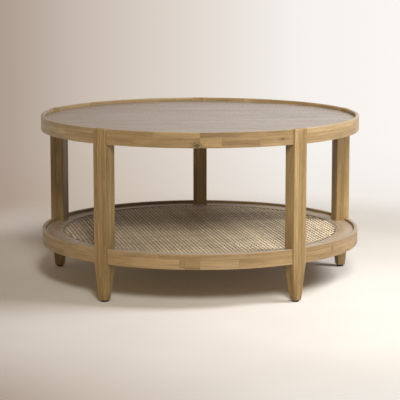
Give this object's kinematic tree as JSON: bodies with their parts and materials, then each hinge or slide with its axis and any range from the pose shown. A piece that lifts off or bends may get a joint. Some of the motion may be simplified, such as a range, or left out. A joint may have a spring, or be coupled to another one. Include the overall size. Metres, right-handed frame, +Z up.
{
  "type": "coffee table",
  "caption": "Round two-tier wooden coffee table: recessed top and woven lower shelf inside raised bands, straight legs with tapered feet.",
  "frame": {"origin": "on the floor, on the table's vertical axis", "axes": "+Z up, +X to the right, -Y towards the front, midway between two legs"},
  "size_m": [0.914, 0.917, 0.475],
  "materials": {
    "top_wood": "satin lacquered veneer, straight grain from side to side",
    "ledge_wood": "satin lacquered solid wood",
    "band_wood": "satin, bent strips glued up from finger-jointed staves",
    "leg_wood": "satin solid wood, upright grain",
    "woven_cane": "flat rattan strands in an over-and-under weave",
    "cane_spline": "rattan spline",
    "plywood": "unfinished plywood",
    "block_wood": "planed hardwood",
    "bolt_steel": "zinc plated",
    "insert_brass": "turned brass",
    "glide_plastic": "moulded black plastic"
  },
  "bodies": {
    "root": {"top_panel": "top_wood", "shelf_ledge": "ledge_wood", "shelf_weave": "woven_cane", "shelf_spline": "cane_spline", "shelf_backing": "plywood", "top_band_right": "band_wood", "top_band_back_right": "band_wood", "top_band_back_left": "band_wood", "top_band_left": "band_wood", "top_band_front": "band_wood", "shelf_band_right": "band_wood", "shelf_band_back_right": "band_wood", "shelf_band_back_left": "band_wood", "shelf_band_left": "band_wood", "shelf_band_front": "band_wood", "leg_front_right": "leg_wood", "leg_right": "leg_wood", "leg_back": "leg_wood", "leg_left": "leg_wood", "leg_front_left": "leg_wood", "glide_front_right": "glide_plastic", "glide_right": "glide_plastic", "glide_back": "glide_plastic", "glide_left": "glide_plastic", "glide_front_left": "glide_plastic", "top_block_front_right": "block_wood", "top_block_right": "block_wood", "top_block_back": "block_wood", "top_block_left": "block_wood", "top_block_front_left": "block_wood", "top_bolt_front_right": "bolt_steel", "top_bolt_right": "bolt_steel", "top_bolt_back": "bolt_steel", "top_bolt_left": "bolt_steel", "top_bolt_front_left": "bolt_steel", "top_insert_front_right": "insert_brass", "top_insert_right": "insert_brass", "top_insert_back": "insert_brass", "top_insert_left": "insert_brass", "top_insert_front_left": "insert_brass", "shelf_block_front_right": "block_wood", "shelf_block_right": "block_wood", "shelf_block_back": "block_wood", "shelf_block_left": "block_wood", "shelf_block_front_left": "block_wood", "shelf_bolt_front_right": "bolt_steel", "shelf_bolt_right": "bolt_steel", "shelf_bolt_back": "bolt_steel", "shelf_bolt_left": "bolt_steel", "shelf_bolt_front_left": "bolt_steel", "shelf_insert_front_right": "insert_brass", "shelf_insert_right": "insert_brass", "shelf_insert_back": "insert_brass", "shelf_insert_left": "insert_brass", "shelf_insert_front_left": "insert_brass"}
  },
  "joints": []
}
